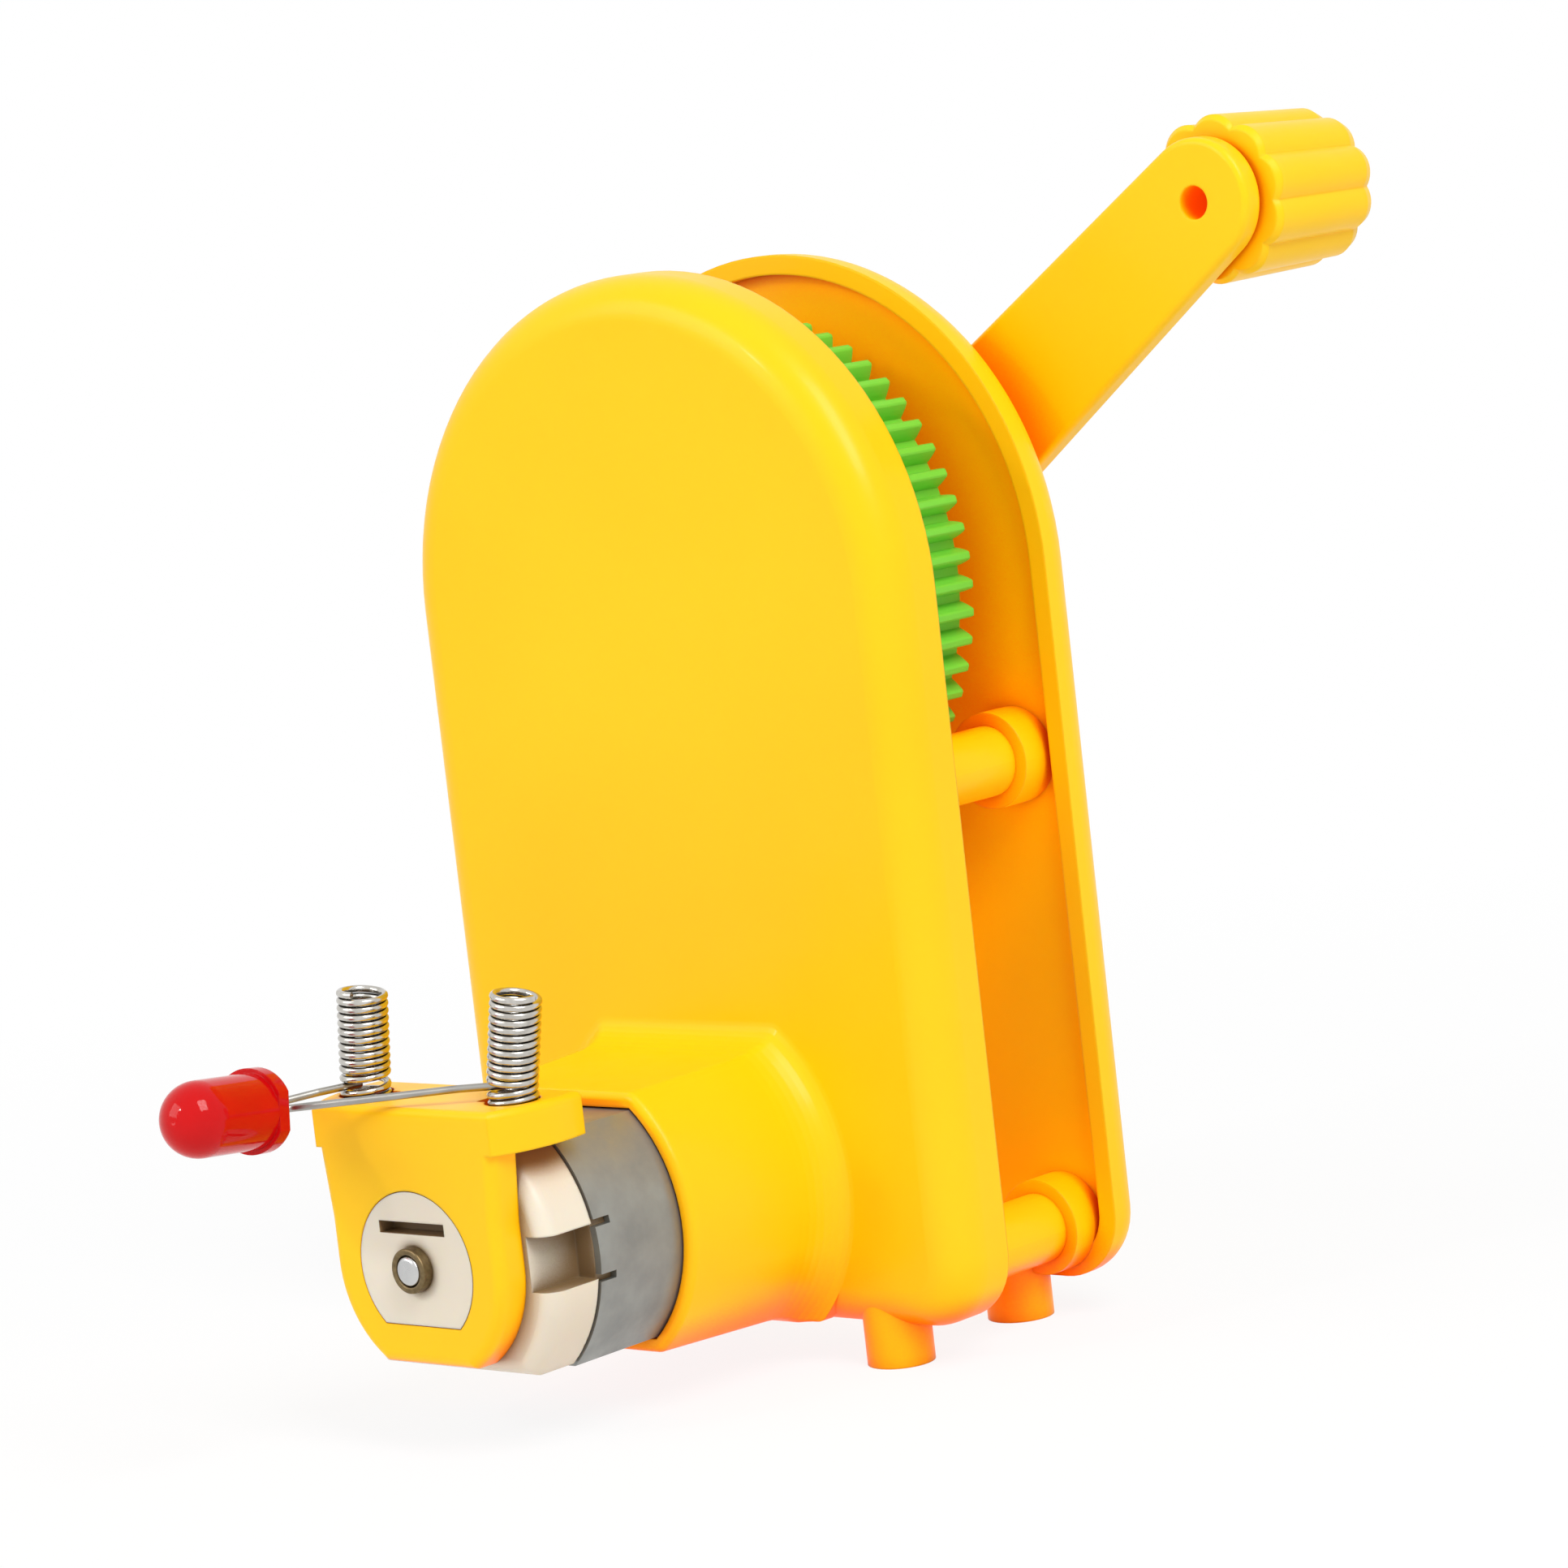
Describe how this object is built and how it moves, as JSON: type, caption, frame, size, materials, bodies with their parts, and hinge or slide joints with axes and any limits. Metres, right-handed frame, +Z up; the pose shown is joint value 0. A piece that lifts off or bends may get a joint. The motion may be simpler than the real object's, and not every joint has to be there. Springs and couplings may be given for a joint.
{
  "type": "hand crank generator",
  "caption": "Hand crank generator: turning the crank drives meshed gears and a small motor that lights a lamp held in spring terminals.",
  "frame": {"origin": "on the standing surface, on the middle plane, under the outer face of the front shell", "axes": "+Z up, +Y from the motor side towards the crank side, +X to the right seen from the motor side; the gear shafts lie along Y in the plane x = 0"},
  "size_m": [0.0602, 0.0772, 0.08],
  "materials": {
    "yellow_plastic": "glossy moulded",
    "green_gear": "moulded",
    "white_gear": "moulded",
    "nylon": "moulded",
    "zinc_can": "zinc plated",
    "shaft_steel": "ground",
    "screw_steel": "plated",
    "spring_steel": "bright drawn",
    "tinned_lead": "tinned",
    "core_steel": "stamped laminations",
    "red_lens": "clear tinted",
    "bronze": "sintered",
    "copper": "enamelled or bare",
    "ferrite": "matt"
  },
  "bodies": {
    "housing": {"front_shell": "yellow_plastic", "rear_shell": "yellow_plastic", "case_screws": "screw_steel", "terminal_bracket": "yellow_plastic", "left_terminal_spring": "spring_steel", "right_terminal_spring": "spring_steel", "lamp_lens": "red_lens", "lamp_left_lead": "tinned_lead", "lamp_right_lead": "tinned_lead", "motor_can": "zinc_can", "motor_end_bell": "nylon", "motor_front_bearing": "bronze", "motor_rear_bearing": "bronze", "motor_magnets": "ferrite", "motor_brushes": "copper", "motor_terminals": "copper", "compound_gear_pin": "shaft_steel"},
    "crank": {"crank_shaft": "shaft_steel", "crank_gear": "green_gear", "crank_arm": "yellow_plastic", "knob_screw": "screw_steel"},
    "knob": {"knob": "yellow_plastic"},
    "compound": {"compound_gear": "white_gear"},
    "rotor": {"motor_shaft": "shaft_steel", "motor_armature": "core_steel", "motor_windings": "copper", "motor_commutator": "copper", "motor_pinion": "nylon"}
  },
  "joints": [
    {"name": "crank_turn", "type": "hinge", "parent": "housing", "child": "crank", "pos_m": [0, 0.0107, 0.0518], "axis": [0, 1, 0], "continuous": true},
    {"name": "compound_turn", "type": "hinge", "parent": "housing", "child": "compound", "pos_m": [0, 0.008, 0.0302], "axis": [0, 1, 0], "continuous": true},
    {"name": "rotor_turn", "type": "hinge", "parent": "housing", "child": "rotor", "pos_m": [0, -0.01, 0.0127], "axis": [0, 1, 0], "continuous": true},
    {"name": "knob_turn", "type": "hinge", "parent": "crank", "child": "knob", "pos_m": [0.03268, 0.03, 0.07443], "axis": [0, 1, 0], "continuous": true}
  ],
  "couplings": [
    {"joint": "compound_turn", "follows": "crank_turn", "ratio": -5},
    {"joint": "rotor_turn", "follows": "crank_turn", "ratio": 30}
  ]
}
